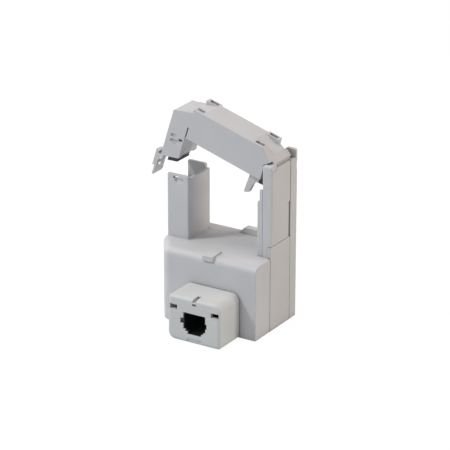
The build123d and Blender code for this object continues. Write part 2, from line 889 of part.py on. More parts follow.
def jaw_bosses():
    """Raised pads for the front slots and the sleeves of the back slots."""
    pads = []
    sleeve_bottom = jaw_top - sleeve_height
    half = sleeve_width / 2
    back = half_jaw + sleeve_reach
    for x in slot_places:
        sleeve = box(x - half, x + half, half_jaw - sleeve_root, back, sleeve_bottom, jaw_top)
        under = edges_at(sleeve, Axis.X, Y=(back, back), Z=(sleeve_bottom, sleeve_bottom))
        sleeve = chamfer(under, sleeve_chamfer)
        upright = edges_at(sleeve, Axis.Z, Y=(back, back))
        pads.append(fillet(upright, 0.5))
    left, right = slot_places
    pad_end = slot_length / 2
    low = jaw_top - left_slope_drop
    pads.append(box(left - pad_end, left + 2 * pad_end, -half_jaw, -half_jaw + pad_depth, low, jaw_top))
    ramp_foot = jaw_top - right_slope_drop
    pads.append(side_profile([(right - 2 * pad_end, low), (right - 2 * pad_end, jaw_top),
                              (right + 1.1 * pad_end, jaw_top), (right_slope_end, ramp_foot),
                              (right_slope_end, low)], -half_jaw, -half_jaw + pad_depth))
    lap_low = leg_cheek_bottom + 1.0
    pads.append(box(leg_outer, leg_outer + jaw_leg_wall, half_jaw - 0.5, half_jaw + sleeve_reach,
                    lap_low, left_shoulder))
    return pads


def slot_cutters():
    cutters = []
    for x in slot_places:
        for y in (-half_jaw + 2.1, half_jaw - 0.35):
            slot = box(-slot_length / 2, slot_length / 2, -slot_width / 2, slot_width / 2, -slot_depth, 1)
            cutters.append(Pos(x, y, jaw_top) * slot)
    return cutters


click_rise = 9.3
click_pitch = 1.1
click_length = 2.8
click_radius = 0.75


def leg_snap_cutters():
    """Hollows above and below the click rib on the leg, and the small hole beside it."""
    face = -half_jaw
    left = leg_outer + 1.7
    rib = leg_cheek_bottom + click_rise
    high = rib + click_pitch
    upper = dimple(left, left + click_length, face, high, click_radius)
    lower = dimple(left + 0.3, left + click_length + 0.9, face, rib - click_pitch, click_radius)
    hole_left = left + click_length + 1.1
    hole = box(hole_left, hole_left + 1.6, face - 1, face + jaw_side_wall + 1, rib, rib + click_pitch)
    shade = depth_profile([(face - 0.1, rib), (face + 0.5, rib), (face - 0.1, rib - 2.6 * click_pitch)],
                          hole_left - 0.9, hole_left + 1.6)
    return [upper, lower, hole, shade]


latch_pivot_x = leg_outer - 0.85
latch_half = 3.0
latch_pin_radius = 0.5


def latch_lugs():
    """Two ears under the leg that carry the latch's pin."""
    ears = []
    for y0 in (-latch_half - small_gap - 1.1, latch_half + small_gap):
        ear = side_profile([
            (latch_pivot_x - 0.8, latch_pivot_z), (latch_pivot_x + 0.8, latch_pivot_z),
            (leg_outer + jaw_leg_wall, leg_cheek_bottom + 0.4),
            (leg_outer + jaw_leg_wall, leg_cheek_bottom + 2.2), (leg_outer - 0.2, leg_cheek_bottom + 2.2),
        ], y0, y0 + 1.1)
        ears.append(ear + rod_y(latch_pivot_x, latch_pivot_z, 0.8, y0, y0 + 1.1))
    return ears


def jaw_cover():
    """The moulded jaw: a bent hollow arm with a slit snap leg at one end and a hinge knuckle at the other."""
    body = side_profile(jaw_outline(), -half_jaw, half_jaw)
    crown = edges_at(body, Axis.Y, X=(leg_outer, leg_outer), Z=(left_shoulder, left_shoulder))
    body = fillet(crown, 0.4)
    knuckle_end = half_jaw + knuckle_reach
    rear_knuckle = side_profile([
        (knuckle_left + 0.4, hinge_height), (hinge_x + barrel_radius, hinge_height),
        (hinge_x + lip_root_x, hinge_height + lip_root_z), (hinge_x + lip_x, hinge_height + lip_z),
        (knuckle_left + 0.4, hinge_height + lip_z + 1.6),
    ], half_jaw - 0.5, knuckle_end)
    body = body + rear_knuckle
    for pad in jaw_bosses():
        body = body + pad
    body = body - jaw_cavity() - cheek_clearance()
    body = body - box(knuckle_left, right_outer + 1, -half_jaw - 1, knuckle_end + 1,
                      jaw_bottom - 1, hinge_height)
    barrel = rod_y(hinge_x, hinge_height, barrel_radius, cheek_back + small_gap, knuckle_end)
    body = body + barrel
    slit_left = leg_outer + jaw_leg_wall + leg_cheek_width
    body = body - box(slit_left, slit_left + 0.5, -half_jaw - 1, -half_core, jaw_bottom - 1, jaw_bottom + 4.7)
    for cutter in slot_cutters() + leg_snap_cutters():
        body = body - cutter
    for ear in latch_lugs():
        body = body + ear
    pin_bore = latch_pin_radius + press_clearance
    body = body - rod_y(latch_pivot_x, latch_pivot_z, pin_bore, -post_depth, post_depth)
    bore = hinge_pin_radius + running_clearance
    body = body - hinge_bore(bore, cheek_back - 1, cheek_back + small_gap + pin_hold)
    body = body - hinge_bore(bore, knuckle_end - pin_hold - small_gap, knuckle_end + 1)
    return turned_open(body)


finger_width = 4.8
finger_drop = 9.05
finger_thickness = 1.9
finger_toe = 0.8
finger_knee = 4.3
finger_bend = 6.5
finger_heel = 7.2


def jaw_liner():
    """The plate that closes the jaw towards the window, with the leg's lining and the guide finger."""
    inner = half_core + small_gap - seam
    floor_top = core_bar_bottom - small_gap
    leg_x0 = core_left_inner + small_gap
    leg_x1 = leg_x0 + 1.0
    floor = box(leg_x0, core_right_inner - small_gap, -inner, inner, jaw_bottom, floor_top)
    leg_side = box(leg_x0, leg_x1, -inner, inner, leg_cheek_bottom + leg_cheek_rise + 0.6, floor_top)
    hinge_side = box(core_right_inner - small_gap - 1.0, core_right_inner - small_gap, -inner, inner,
                     right_pole_height, floor_top)
    right = core_right_inner - small_gap
    tip = jaw_bottom - finger_drop
    left = right - finger_width
    finger = side_profile([(left + 0.4, jaw_bottom + 0.3), (left, tip + 0.3), (left + 0.4, tip),
                           (left + 0.45 * finger_width, tip + finger_toe),
                           (left + 0.56 * finger_width, tip + finger_knee),
                           (left + 0.8 * finger_width, tip + finger_bend), (right, tip + finger_heel),
                           (right, jaw_bottom + 0.3)], -inner, -inner + finger_thickness)
    liner = floor + leg_side + hinge_side + finger
    return turned_open(liner)


spring_span = 20.0
spring_middle = -3.0
spring_width = 5.0
spring_thickness = 0.35


def core_spring():
    """A bowed leaf that keeps the jaw's core pressed down."""
    low = core_bar_bottom + core_thickness
    high = jaw_top - jaw_top_wall
    rise = high - low - seam
    span = spring_span
    middle = spring_middle
    half = spring_width / 2
    radius = (span * span / 4 + rise * rise) / (2 * rise)
    outer = rod_y(middle, high - 0.5 * seam - radius, radius, -half, half)
    inner = rod_y(middle, high - 0.5 * seam - radius, radius - spring_thickness, -half - 1, half + 1)
    window = box(middle - span, middle + span, -half - 1, half + 1, low + 0.5 * seam, high + 1)
    return turned_open((outer - inner) & window)


def hinge_pin_front():
    return rod_y(hinge_x, hinge_height, hinge_pin_radius, cheek_back - 2.9, cheek_back + pin_hold)


def hinge_pin_rear():
    start = half_jaw + knuckle_reach - pin_hold
    return rod_y(hinge_x, hinge_height, hinge_pin_radius, start, rear_face - 0.7)


latch_plate_out = 3.2
latch_plate_thickness = 1.0
latch_foot_length = 3.4
latch_outer = leg_outer - latch_plate_out
latch_inner = latch_outer + latch_plate_thickness


def latch():
    """The sprung latch: a windowed plate with a lead-in foot, a thumb tab and two arms to its pin."""
    top = latch_pivot_z + 0.6
    foot = catch_bottom - latch_foot_length
    plate = side_profile([
        (latch_outer, top), (latch_inner, top), (latch_inner, foot + 1.3), (latch_outer + 0.6, foot),
        (latch_outer, foot + 0.2),
    ], -latch_half, latch_half)
    tab = side_profile([
        (latch_outer - 0.9, top + 1.2), (latch_inner - 0.2, top + 1.2), (latch_outer, top - 0.4),
        (latch_outer + 0.1, catch_bottom + 0.7), (latch_outer - 0.9, catch_bottom + 0.3),
    ], -latch_half, 0.2)
    body = plate + tab
    for y0 in (-latch_half, latch_half - 1.0):
        arm = side_profile([
            (latch_inner - 0.1, latch_pivot_z - 2.2), (latch_inner - 0.1, latch_pivot_z + 0.4),
            (latch_pivot_x, latch_pivot_z + 0.75),
            (latch_pivot_x + 0.6, latch_pivot_z - 0.4), (latch_pivot_x, latch_pivot_z - 0.8),
        ], y0, y0 + 1.0)
        body = body + arm
    body = body + rod_y(latch_pivot_x, latch_pivot_z, 0.8, -latch_half, latch_half)
    window = box(latch_outer - 1, latch_inner + 1, -catch_width / 2 - 0.35, catch_width / 2 + 0.35,
                 catch_bottom - 0.3, catch_bottom + catch_height + 0.3)
    bore_radius = latch_pin_radius + running_clearance
    bore = rod_y(latch_pivot_x, latch_pivot_z, bore_radius, -2 * latch_half, 2 * latch_half)
    return turned_open(body - window - bore)


def latch_pin():
    end = latch_half + small_gap + 1.1
    return turned_open(rod_y(latch_pivot_x, latch_pivot_z, latch_pin_radius, -end, end))


def write(name, shape):
    shapes = shape if isinstance(shape, list) else [shape]
    solids = []
    for item in shapes:
        solids.extend(item.solids())
    export_step(Compound(children=solids) if len(solids) > 1 else solids[0], "parts/" + name + ".step")


nodes = {
    "front_housing": front_housing,
    "rear_cover": rear_cover,
    "upper_side_plate": upper_side_plate,
    "lower_side_plate": lower_side_plate,
    "window_liner": window_liner,
    "jack_hood": jack_hood,
    "jack_body": jack_body,
    "jack_contacts": jack_contacts,
    "circuit_board": circuit_board,
    "burden_resistor": burden_resistor,
    "clamp_diode": clamp_diode,
    "coil_leads": coil_leads,
    "coil_bobbin": coil_bobbin,
    "secondary_winding": secondary_winding,
    "winding_tape": winding_tape,
    "lower_core": lower_core,
    "jaw_cover": jaw_cover,
    "jaw_liner": jaw_liner,
    "upper_core": lambda: turned_open(upper_core()),
    "core_spring": core_spring,
    "hinge_pin_front": hinge_pin_front,
    "hinge_pin_rear": hinge_pin_rear,
    "latch": latch,
    "latch_pin": latch_pin,
}

os.makedirs("parts", exist_ok=True)
for node_name, maker in nodes.items():
    write(node_name, maker())
    print(node_name)
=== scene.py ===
# %% [markdown]
# # A split-core current transformer
#
# The object is a small hinged clamp that goes round a cable: a base with a coil inside, two posts with
# the cable window between them, and a jaw that stands open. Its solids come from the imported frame, each
# in its place. This lesson gives each of them a finish, winds the coil turn by turn, and sets up the
# floor, the camera and the light.

# %% Load the frame
import math

import bpy
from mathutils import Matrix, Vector


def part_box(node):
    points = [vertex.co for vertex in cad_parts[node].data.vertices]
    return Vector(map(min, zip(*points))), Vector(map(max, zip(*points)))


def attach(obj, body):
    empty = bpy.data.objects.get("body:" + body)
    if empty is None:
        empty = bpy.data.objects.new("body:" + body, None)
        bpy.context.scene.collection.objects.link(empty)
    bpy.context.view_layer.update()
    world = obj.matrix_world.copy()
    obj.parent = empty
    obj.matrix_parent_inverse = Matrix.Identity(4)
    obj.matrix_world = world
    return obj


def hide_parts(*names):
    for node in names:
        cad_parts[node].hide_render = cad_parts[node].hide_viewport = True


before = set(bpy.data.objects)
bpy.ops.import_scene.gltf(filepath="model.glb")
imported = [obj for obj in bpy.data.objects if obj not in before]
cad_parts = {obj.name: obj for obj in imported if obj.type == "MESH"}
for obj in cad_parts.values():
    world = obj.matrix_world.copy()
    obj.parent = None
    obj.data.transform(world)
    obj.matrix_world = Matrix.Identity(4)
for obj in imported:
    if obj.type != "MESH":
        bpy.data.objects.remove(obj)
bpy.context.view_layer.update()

MM = 0.001

# %% [markdown]
# ## Small helpers for node trees
#
# Every finish below is a graph of shader nodes, and the winding is a graph of geometry nodes. Such a graph
# can be built by hand in the editor, but a script can be read and run again. A few short helpers keep it
# readable: one adds a node with its settings and links, and the others wrap the nodes that are used most.
# All patterns read Object coordinates, which are metres here, so a noise scale of 1000 has features about
# a millimetre wide.

# %% Node helpers
def connect(tree, value, socket):
    """Links a socket to another, or sets a constant on it."""
    if isinstance(value, bpy.types.NodeSocket):
        tree.links.new(value, socket)
    else:
        socket.default_value = value


def add(tree, kind, settings=None, **inputs):
    """Adds a node, sets its properties, then connects its inputs by name."""
    node = tree.nodes.new(kind)
    for name, value in (settings or {}).items():
        setattr(node, name, value)
    for name, value in inputs.items():
        connect(tree, value, node.inputs[name.replace("_", " ")])
    return node


def calculate(tree, operation, *terms):
    """A Math node on one or two terms."""
    node = add(tree, "ShaderNodeMath", {"operation": operation})
    for term, socket in zip(terms, node.inputs):
        connect(tree, term, socket)
    return node.outputs["Value"]


# Noise keeps near 0.5, so its middle is what gets stretched.
NOISE_MIDDLE = (0.3, 0.7)


def noise(tree, place, scale, detail=2.0, rough=0.5):
    """A noise texture on the object's own coordinates."""
    node = add(tree, "ShaderNodeTexNoise", Vector=place, Scale=scale, Detail=detail, Roughness=rough)
    return node.outputs["Fac"]


def stretch(tree, value, source, target):
    """Maps a value from one range to another and clamps it."""
    node = add(tree, "ShaderNodeMapRange", {"clamp": True}, Value=value,
               From_Min=source[0], From_Max=source[1], To_Min=target[0], To_Max=target[1])
    return node.outputs["Result"]


def blend_colours(tree, factor, first, second):
    """Mixes two colours, each a constant or a socket."""
    node = add(tree, "ShaderNodeMix", {"data_type": "RGBA"})
    # The colour sockets come after the number and vector ones of the same names.
    factor_socket, first_socket, second_socket = node.inputs[0], node.inputs[6], node.inputs[7]
    connect(tree, factor, factor_socket)
    for socket, colour in ((first_socket, first), (second_socket, second)):
        connect(tree, (*colour, 1.0) if isinstance(colour, tuple) else colour, socket)
    return node.outputs[2]


def lighter(colour, amount):
    """A constant colour times an amount, which is under 1 for a darker one."""
    return tuple(min(1.0, channel * amount) for channel in colour)


def shades(colour, amounts):
    """A darker and a lighter shade of one colour."""
    return tuple(lighter(colour, amount) for amount in amounts)


def start_material(name, colour, roughness, metallic=0.0):
    """A material with its shader's constant values set on the shader itself."""
    material = bpy.data.materials.new(name)
    material.use_nodes = True
    tree = material.node_tree
    shader = tree.nodes["Principled BSDF"]
    shader.inputs["Base Color"].default_value = (*colour, 1.0)
    shader.inputs["Roughness"].default_value = roughness
    shader.inputs["Metallic"].default_value = metallic
    material.diffuse_color = (*colour, 1.0)
    return material, tree, shader


def finish_shader(tree, shader, colour, roughness, normal):
    """Links a varied colour, roughness and normal to the shader."""
    tree.links.new(colour, shader.inputs["Base Color"])
    tree.links.new(roughness, shader.inputs["Roughness"])
    tree.links.new(normal, shader.inputs["Normal"])


print("helpers ready")

# %% [markdown]
# ## Moulded plastic: its colour
#
# The shells, the plates, the jaw, the latch and the socket's hood are injection moulded in pale grey. Such
# plastic is never one flat colour: the melt leaves a slight cloud as it flows, and the grain of the steel
# tool gives a fine speckle. A photographed swatch could show both, but it would repeat. Two noises at very
# different scales give a cloud of about two centimetres and a speckle of a third of a millimetre.

# %% Cloud and speckle
CLOUD_SCALE = 55.0
CLOUD_RANGE = (0.35, 0.65)
CLOUD_SHADES = (0.975, 1.02)
SPECKLE_SCALE = 3200.0
SPECKLE_RANGE = (0.42, 0.75)
SPECKLE_SHADE = 0.80
SPECKLE_DEPTH = 0.12


def moulded_colour(tree, place, colour):
    """The plastic's own colour with a soft cloud and a fine dark speckle."""
    cloud = stretch(tree, noise(tree, place, CLOUD_SCALE, detail=3.0), CLOUD_RANGE, (0.0, 1.0))
    base = blend_colours(tree, cloud, *shades(colour, CLOUD_SHADES))
    spots = noise(tree, place, SPECKLE_SCALE, detail=1.0)
    speckle = stretch(tree, spots, SPECKLE_RANGE, (0.0, SPECKLE_DEPTH))
    return blend_colours(tree, speckle, base, lighter(colour, SPECKLE_SHADE))


print("cloud about", round(1.0 / CLOUD_SCALE / MM), "mm")

# %% [markdown]
# ## Moulded plastic: its edges
#
# The edges of a moulding are a little rounded. The mesh could be rounded there, but a solid from the frame
# keeps its shape. A Bevel node rounds only the shading normal, so a sharp edge still catches the light. The
# angle between that normal and the true one shows where the edges are, and a painted highlight lightens
# the colour there.

# %% Painted edge highlights
# The edge highlight is painted: along the edges the colour is made lighter.
SHADING_SAMPLES = 6
EDGE_RADIUS = 0.34 * MM
EDGE_RANGE = (0.995, 0.80)
EDGE_HIGHLIGHT = 1.26


def painted_edge_highlights(tree, base, colour, highlight_strength):
    """Paints a highlight along the edges by lightening the colour, and also gives the rounded normal."""
    bevel = add(tree, "ShaderNodeBevel", {"samples": SHADING_SAMPLES}, Radius=EDGE_RADIUS)
    rounded = bevel.outputs["Normal"]
    true_normal = add(tree, "ShaderNodeNewGeometry").outputs["Normal"]
    turn = add(tree, "ShaderNodeVectorMath", {"operation": "DOT_PRODUCT"})
    for normal, socket in zip((rounded, true_normal), turn.inputs):
        connect(tree, normal, socket)
    highlight_mask = stretch(tree, turn.outputs["Value"], EDGE_RANGE, (0.0, highlight_strength))
    return blend_colours(tree, highlight_mask, base, lighter(colour, EDGE_HIGHLIGHT)), rounded


print("edges rounded by", round(EDGE_RADIUS / MM, 2), "mm")

# %% [markdown]
# ## Moulded plastic: its hollows and joints
#
# Shade falls into corners, and the seams between two mouldings look nearly black. The solids meet with real
# gaps, but the gaps are so narrow that little of their shade shows. An Ambient Occlusion node finds the
# hollows, and painted shade darkens the colour there: a reach of a few millimetres gives soft shaded
# corners, and a short one gives narrow dark seams.
#
# The side plates meet the rear cover in a straight, tight joint. Their distance from the cover's front
# plane paints the shade of that joint as a thin dark line.

# %% Painted shade in hollows and parting lines
def hollow_shade(tree, base, dark, reach, opening, depth):
    """Paints shade into a colour in hollows narrower than about twice the reach.

    The opening holds two shares of the sky. Under the first the shade is full, and over the second there
    is none.
    """
    hollow = add(tree, "ShaderNodeAmbientOcclusion", {"samples": SHADING_SAMPLES}, Distance=reach)
    shade = stretch(tree, hollow.outputs["AO"], opening, (depth, 0.0))
    return blend_colours(tree, shade, base, dark)


def painted_parting_shade(tree, base, dark, place, plane, half_width, depth):
    """Paints shade as a narrow dark band on both sides of an upright plane across Y."""
    along = add(tree, "ShaderNodeSeparateXYZ", Vector=place)
    away = calculate(tree, "ABSOLUTE", calculate(tree, "SUBTRACT", along.outputs["Y"], plane))
    line = stretch(tree, away, (0.5 * half_width, half_width), (depth, 0.0))
    return blend_colours(tree, line, base, dark)


print("hollows and parting lines ready")

# %% [markdown]
# ## Moulded plastic: the whole finish
#
# One function joins the colour, the painted highlight on the edges, the painted shade in the hollows and
# the joint, and adds the gloss and the grain. The spark-eroded grain of such a shell is only a few
# hundredths of a millimetre high. In the mesh it would take millions of faces, so a Bump node makes it, on
# top of the rounded normal.

# %% The plastic function
# Painted shade: hollows, seams and the parting line take darker shades of the plastic's colour.
CORNER_REACH = 4.0 * MM
CORNER_OPENING = (0.10, 0.80)
CORNER_SHADE = 0.45
SEAM_REACH = 1.0 * MM
SEAM_SHADE = 0.08
SEAM_DEPTH = 0.95
PARTING_HALF_WIDTH = 0.62 * MM
PARTING_DEPTH = 0.92
SHEEN_SCALE = 140.0
GRAIN_SCALE = 2400.0
GRAIN_HEIGHT = 0.04 * MM


def moulded_plastic(name, colour, roughness=0.52, grain=0.10, highlight_strength=0.75, painted_corner_shade=0.42,
                    seam_opening=(0.10, 0.50), parting=None):
    """Moulded plastic with painted edge highlights, painted shade in hollows, and at a parting plane if
    given.
    """
    material, tree, shader = start_material(name, colour, roughness)
    place = add(tree, "ShaderNodeTexCoord").outputs["Object"]
    base = moulded_colour(tree, place, colour)
    # Painted highlight on the edges, then painted shade in corners, in seams and along the parting line.
    base, rounded = painted_edge_highlights(tree, base, colour, highlight_strength)
    base = hollow_shade(tree, base, lighter(colour, CORNER_SHADE), CORNER_REACH, CORNER_OPENING, painted_corner_shade)
    seam_shade_colour = lighter(colour, SEAM_SHADE)
    base = hollow_shade(tree, base, seam_shade_colour, SEAM_REACH, seam_opening, SEAM_DEPTH)
    if parting is not None:
        base = painted_parting_shade(tree, base, seam_shade_colour, place, parting, PARTING_HALF_WIDTH, PARTING_DEPTH)

    sheen = stretch(tree, noise(tree, place, SHEEN_SCALE, detail=4.0), NOISE_MIDDLE,
                    (roughness - 0.06, roughness + 0.07))
    bump = add(tree, "ShaderNodeBump", Strength=grain, Distance=GRAIN_HEIGHT, Normal=rounded,
               Height=noise(tree, place, GRAIN_SCALE, detail=3.0, rough=0.6))
    finish_shader(tree, shader, base, sheen, bump.outputs["Normal"])
    return material


print("grain about", round(1.0 / GRAIN_SCALE / MM, 2), "mm")

# %% [markdown]
# ## The greys, and the black and white plastics
#
# All the shells are one pale grey, but each moulding comes out of its tool a little different. The side
# plates are warmer, and the hood is lighter and slightly green. The jaw's click hollows are shallow, so its
# seams get only soft painted shade, while the plates and the rear cover get dark painted shade in their
# tight joints. Each could have a material of its own, painted by hand, but one function with a few
# settings keeps them a family.

# %% The plastics
cover_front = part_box("rear_cover")[0][1]

# The settings below paint a highlight on the edges and paint shade into the corners and seams.
housing_grey = moulded_plastic("housing_grey", (0.600, 0.598, 0.604), highlight_strength=0.62, painted_corner_shade=0.36,
                               seam_opening=(0.10, 0.36))
jaw_grey = moulded_plastic("jaw_grey", (0.596, 0.592, 0.598), roughness=0.50, painted_corner_shade=0.36,
                           seam_opening=(0.10, 0.40))
plate_grey = moulded_plastic("plate_grey", (0.605, 0.592, 0.578), roughness=0.55,
                             seam_opening=(0.45, 0.88), parting=cover_front)
cover_grey = moulded_plastic("cover_grey", (0.602, 0.594, 0.586), painted_corner_shade=0.36, seam_opening=(0.30, 0.66))
hood_grey = moulded_plastic("hood_grey", (0.628, 0.636, 0.630), roughness=0.48)
socket_black = moulded_plastic("socket_black", (0.012, 0.013, 0.014), roughness=0.42, grain=0.2, highlight_strength=0.15)
bobbin_white = moulded_plastic("bobbin_white", (0.70, 0.67, 0.58), roughness=0.45)
component_black = moulded_plastic("component_black", (0.02, 0.02, 0.022), roughness=0.32, grain=0.15)
print("plates part from the cover at Y", round(cover_front / MM, 2), "mm")

# %% [markdown]
# ## Ferrite
#
# The core is black ferrite, a fired ceramic with a fine pitted grain. Noise would look cloudy. A texture of
# cells looks like packed grains, and the distance to a cell's middle serves for the colour and the pits.

# %% Ferrite core
PIT_SCALE = 2600.0
PIT_DEPTH = 0.05 * MM
GRIND_SCALE = 400.0


def ferrite(name, colour):
    """A dark ceramic of small packed grains."""
    material, tree, shader = start_material(name, colour, 0.55)
    place = add(tree, "ShaderNodeTexCoord").outputs["Object"]
    grains = add(tree, "ShaderNodeTexVoronoi", {"feature": "F1"}, Vector=place, Scale=PIT_SCALE)
    distance = grains.outputs["Distance"]
    shade = stretch(tree, distance, (0.0, 0.6), (0.0, 1.0))
    base = blend_colours(tree, shade, *shades(colour, (0.55, 1.9)))
    ground = stretch(tree, noise(tree, place, GRIND_SCALE, detail=3.0), NOISE_MIDDLE, (0.40, 0.68))
    bump = add(tree, "ShaderNodeBump", Strength=0.25, Distance=PIT_DEPTH, Height=distance)
    finish_shader(tree, shader, base, ground, bump.outputs["Normal"])
    return material


core_black = ferrite("core_black", (0.018, 0.018, 0.020))
print("ferrite grains about", round(1.0 / PIT_SCALE / MM, 2), "mm")

# %% [markdown]
# ## Steel, plated contacts and copper wire
#
# The hinge pins and the leaf spring are drawn steel, the socket's springs are plated, and the winding is
# enamelled copper. Drawing leaves fine lines along the length. A scratched picture could be wrapped round
# each wire, but noise that is squeezed along one axis makes the lines at any length. They vary the
# roughness more than the colour, as on real wire. The copper has a clear coat over it for its enamel.

# %% Metals
LINE_DEPTH = 0.02 * MM
LINE_STRETCH = 0.04
TINT_SCALE = 300.0


def drawn_metal(name, colour, roughness, along=1, line_scale=1800.0):
    """Metal with fine lines along one axis: 0 for X, 1 for Y and 2 for Z."""
    material, tree, shader = start_material(name, colour, roughness, metallic=1.0)
    place = add(tree, "ShaderNodeTexCoord").outputs["Object"]
    squeeze = [1.0, 1.0, 1.0]
    squeeze[along] = LINE_STRETCH
    flow = add(tree, "ShaderNodeMapping", Vector=place, Scale=squeeze)
    lines = noise(tree, flow.outputs["Vector"], line_scale, detail=4.0)
    polish = stretch(tree, lines, NOISE_MIDDLE, (roughness - 0.08, roughness + 0.12))
    tint = stretch(tree, noise(tree, place, TINT_SCALE), NOISE_MIDDLE, (0.0, 1.0))
    base = blend_colours(tree, tint, *shades(colour, (0.88, 1.05)))
    bump = add(tree, "ShaderNodeBump", Strength=0.12, Distance=LINE_DEPTH, Height=lines)
    finish_shader(tree, shader, base, polish, bump.outputs["Normal"])
    return material


pin_steel = drawn_metal("pin_steel", (0.62, 0.63, 0.65), 0.28)
contact_gold = drawn_metal("contact_gold", (0.83, 0.62, 0.26), 0.22)
enamelled_copper = drawn_metal("enamelled_copper", (0.72, 0.30, 0.13), 0.24, along=0, line_scale=1200.0)
enamel = enamelled_copper.node_tree.nodes["Principled BSDF"].inputs
enamel["Coat Weight"].default_value = 0.6
enamel["Coat Roughness"].default_value = 0.12
print("metals:", pin_steel.name, contact_gold.name, enamelled_copper.name)

# %% [markdown]
# ## Film tape
#
# The winding is wrapped in yellow film tape, laid round in overlapping turns. Each overlap shows as a step
# in the yellow, and the film creases a little between them. Thin strips could be modelled, but they would
# be a few hundredths of a millimetre thick. A saw-shaped wave along the coil gives the steps instead, and
# noise gives the creases.

# %% Film tape
WRAP_SCALE = 28.0
CREASE_SCALE = 420.0
CREASE_HEIGHT = 0.1 * MM


def film_tape(name, colour):
    """Glossy film with the overlaps of its turns along X."""
    material, tree, shader = start_material(name, colour, 0.25)
    place = add(tree, "ShaderNodeTexCoord").outputs["Object"]
    wraps = add(tree, "ShaderNodeTexWave", {"bands_direction": "X", "wave_profile": "SAW"},
                Vector=place, Scale=WRAP_SCALE, Distortion=1.2)
    base = blend_colours(tree, wraps.outputs["Fac"], *shades(colour, (0.86, 1.08)))
    creases = noise(tree, place, CREASE_SCALE, detail=4.0, rough=0.65)
    gloss = stretch(tree, creases, NOISE_MIDDLE, (0.16, 0.38))
    bump = add(tree, "ShaderNodeBump", Strength=0.3, Distance=CREASE_HEIGHT, Height=creases)
    finish_shader(tree, shader, base, gloss, bump.outputs["Normal"])
    return material


tape_yellow = film_tape("tape_yellow", (0.78, 0.52, 0.07))
print("made", tape_yellow.name)

# %% [markdown]
# ## Circuit board
#
# The board behind the socket is green, and its copper tracks show faintly through the lacquer. They could
# be modelled one by one, but at this size a staggered brick pattern reads as tracks with gaps between them.
# The board stands upright, so a Mapping node turns the pattern on to its face.

# %% Circuit board
TRACK_SCALE = 420.0
TRACK_GAP = 0.06
TRACK_HEIGHT = 0.03 * MM
LACQUER_SCALE = 500.0


def lacquered_board(name, colour):
    """A lacquered board with faint tracks on its upright face."""
    material, tree, shader = start_material(name, colour, 0.3)
    place = add(tree, "ShaderNodeTexCoord").outputs["Object"]
    upright = add(tree, "ShaderNodeMapping", Vector=place, Rotation=(math.radians(90), 0.0, 0.0))
    tracks = add(tree, "ShaderNodeTexBrick", {"offset": 0.37}, Vector=upright.outputs["Vector"],
                 Scale=TRACK_SCALE, Mortar_Size=TRACK_GAP)
    base = blend_colours(tree, tracks.outputs["Fac"], colour, lighter(colour, 2.1))
    gloss = stretch(tree, noise(tree, place, LACQUER_SCALE, detail=3.0), NOISE_MIDDLE, (0.22, 0.40))
    bump = add(tree, "ShaderNodeBump", Strength=0.2, Distance=TRACK_HEIGHT, Height=tracks.outputs["Fac"])
    finish_shader(tree, shader, base, gloss, bump.outputs["Normal"])
    return material


board_green = lacquered_board("board_green", (0.02, 0.13, 0.055))
print("made", board_green.name)

# %% [markdown]
# ## Give each solid its finish
#
# The mouldings, the metal parts and the core all come from the frame with a plain colour in their material
# slots. Each could be replaced by a new mesh, but their shapes are right already. So a solid keeps its
# shape and its place, and only what sits in its slots changes.

# %% Assign the finishes
finishes = {
    "front_housing": housing_grey, "rear_cover": cover_grey, "window_liner": housing_grey,
    "upper_side_plate": plate_grey, "lower_side_plate": plate_grey,
    "jack_hood": hood_grey, "jack_body": socket_black, "jack_contacts": contact_gold,
    "circuit_board": board_green, "burden_resistor": component_black, "clamp_diode": component_black,
    "coil_leads": enamelled_copper, "coil_bobbin": bobbin_white, "secondary_winding": enamelled_copper,
    "winding_tape": tape_yellow, "lower_core": core_black, "upper_core": core_black,
    "core_spring": pin_steel, "hinge_pin_front": pin_steel, "hinge_pin_rear": pin_steel,
    "jaw_cover": jaw_grey, "jaw_liner": jaw_grey, "latch": jaw_grey, "latch_pin": pin_steel,
}
for node_name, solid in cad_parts.items():
    if not solid.material_slots:
        solid.data.materials.append(finishes[node_name])
    for slot in solid.material_slots:
        slot.material = finishes[node_name]
print("finished solids:", len(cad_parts))

# %% [markdown]
# ## The winding, turn by turn
#
# The coil is hundreds of turns of enamelled wire on a bobbin, and its top layer is what anyone sees when
# the tape comes off. It could be one smooth sleeve with a bump, but then the wire would have no shape of
# its own. One turn is a rounded rectangle of wire, and the layer is that turn repeated along the core's
# limb, so Geometry Nodes suit it. The tree has named inputs for the wire, the turns and the sizes, and it
# ends in a plain mesh with its finish on it.

# %% A tree that winds one layer
CORNER_POINTS = 5
WIRE_SIDES = 7


def winding_inputs(tree):
    """Names the inputs of the tree, with a usual value for each."""
    face = tree.interface
    usual = {"Wire Radius": 0.3 * MM, "Pitch": 0.6 * MM, "Width": 18 * MM, "Height": 14 * MM,
             "Corner Radius": 3 * MM}
    face.new_socket("Turns", in_out="INPUT", socket_type="NodeSocketInt").default_value = 40
    for label, value in usual.items():
        face.new_socket(label, in_out="INPUT", socket_type="NodeSocketFloat").default_value = value
    face.new_socket("Start", in_out="INPUT", socket_type="NodeSocketVector")
    face.new_socket("Finish", in_out="INPUT", socket_type="NodeSocketMaterial")
    face.new_socket("Geometry", in_out="OUTPUT", socket_type="NodeSocketGeometry")
    return tree.nodes.new("NodeGroupInput").outputs


